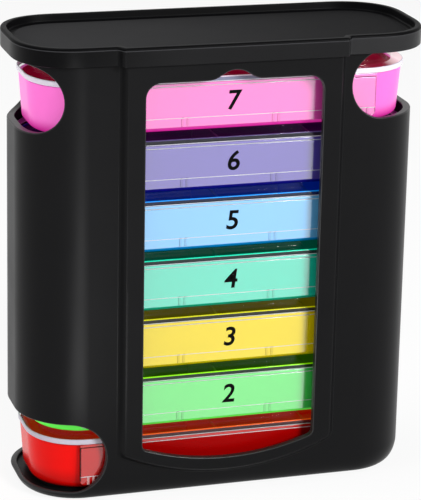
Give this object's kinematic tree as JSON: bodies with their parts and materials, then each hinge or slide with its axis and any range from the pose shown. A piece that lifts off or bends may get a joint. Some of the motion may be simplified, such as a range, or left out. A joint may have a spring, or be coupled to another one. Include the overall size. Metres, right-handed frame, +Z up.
{
  "type": "weekly pill organizer",
  "caption": "Tower of stacked day boxes with clear lids and name plates in an open-topped housing with a front window, a side exit for the lowest box and a tray-topped lid.",
  "frame": {"origin": "centre of the bounding box at the surface that the tower stands on", "axes": "+Z up, window and name plates toward -Y, exit opening for the lowest box toward -X"},
  "size_m": [0.1412, 0.0566, 0.1578],
  "materials": {
    "tower_black": "satin moulded, opaque black",
    "clear_lid": "polished, clear",
    "tray_red": "glossy, translucent red",
    "plate_red": "polished clear, pale red",
    "tray_green": "glossy, translucent green",
    "plate_green": "polished clear, pale green",
    "tray_yellow": "glossy, translucent yellow",
    "plate_yellow": "polished clear, pale yellow",
    "tray_teal": "glossy, translucent teal",
    "plate_teal": "polished clear, pale teal",
    "tray_blue": "glossy, translucent blue",
    "plate_blue": "polished clear, pale blue",
    "tray_violet": "glossy, translucent violet",
    "plate_violet": "polished clear, pale violet",
    "tray_pink": "glossy, translucent pink",
    "plate_pink": "polished clear, pale pink"
  },
  "bodies": {
    "housing": {"tower_housing": "tower_black"},
    "day_box_1": {"day_tray_1": "tray_red", "day_lid_1": "clear_lid", "name_plate_1": "plate_red"},
    "day_box_2": {"day_tray_2": "tray_green", "name_plate_2": "plate_green"},
    "day_box_2_lid": {"day_lid_2": "clear_lid"},
    "day_box_3": {"day_tray_3": "tray_yellow", "name_plate_3": "plate_yellow"},
    "day_box_3_lid": {"day_lid_3": "clear_lid"},
    "day_box_4": {"day_tray_4": "tray_teal", "name_plate_4": "plate_teal"},
    "day_box_4_lid": {"day_lid_4": "clear_lid"},
    "day_box_5": {"day_tray_5": "tray_blue", "name_plate_5": "plate_blue"},
    "day_box_5_lid": {"day_lid_5": "clear_lid"},
    "day_box_6": {"day_tray_6": "tray_violet", "name_plate_6": "plate_violet"},
    "day_box_6_lid": {"day_lid_6": "clear_lid"},
    "day_box_7": {"day_tray_7": "tray_pink", "name_plate_7": "plate_pink"},
    "day_box_7_lid": {"day_lid_7": "clear_lid"},
    "tower_lid": {"tower_lid": "tower_black"}
  },
  "joints": [
    {"name": "day_box_1_slide_out", "type": "slide", "parent": "housing", "child": "day_box_1", "axis": [-1, 0, 0], "range_m": [0, 0.14]},
    {"name": "day_box_2_lift", "type": "slide", "parent": "housing", "child": "day_box_2", "axis": [0, 0, 1], "range_m": [0, 0.134]},
    {"name": "day_box_2_lid_lift", "type": "slide", "parent": "day_box_2", "child": "day_box_2_lid", "axis": [0, 0, 1], "range_m": [0, 0.03]},
    {"name": "day_box_3_lift", "type": "slide", "parent": "day_box_2_lid", "child": "day_box_3", "axis": [0, 0, 1], "range_m": [0, 0.113]},
    {"name": "day_box_3_lid_lift", "type": "slide", "parent": "day_box_3", "child": "day_box_3_lid", "axis": [0, 0, 1], "range_m": [0, 0.03]},
    {"name": "day_box_4_lift", "type": "slide", "parent": "day_box_3_lid", "child": "day_box_4", "axis": [0, 0, 1], "range_m": [0, 0.093]},
    {"name": "day_box_4_lid_lift", "type": "slide", "parent": "day_box_4", "child": "day_box_4_lid", "axis": [0, 0, 1], "range_m": [0, 0.03]},
    {"name": "day_box_5_lift", "type": "slide", "parent": "day_box_4_lid", "child": "day_box_5", "axis": [0, 0, 1], "range_m": [0, 0.072]},
    {"name": "day_box_5_lid_lift", "type": "slide", "parent": "day_box_5", "child": "day_box_5_lid", "axis": [0, 0, 1], "range_m": [0, 0.03]},
    {"name": "day_box_6_lift", "type": "slide", "parent": "day_box_5_lid", "child": "day_box_6", "axis": [0, 0, 1], "range_m": [0, 0.051]},
    {"name": "day_box_6_lid_lift", "type": "slide", "parent": "day_box_6", "child": "day_box_6_lid", "axis": [0, 0, 1], "range_m": [0, 0.03]},
    {"name": "day_box_7_lift", "type": "slide", "parent": "day_box_6_lid", "child": "day_box_7", "axis": [0, 0, 1], "range_m": [0, 0.031]},
    {"name": "day_box_7_lid_lift", "type": "slide", "parent": "day_box_7", "child": "day_box_7_lid", "axis": [0, 0, 1], "range_m": [0, 0.03]},
    {"name": "tower_lid_lift", "type": "slide", "parent": "day_box_7_lid", "child": "tower_lid", "axis": [0, 0, 1], "range_m": [0, 0.06]}
  ]
}
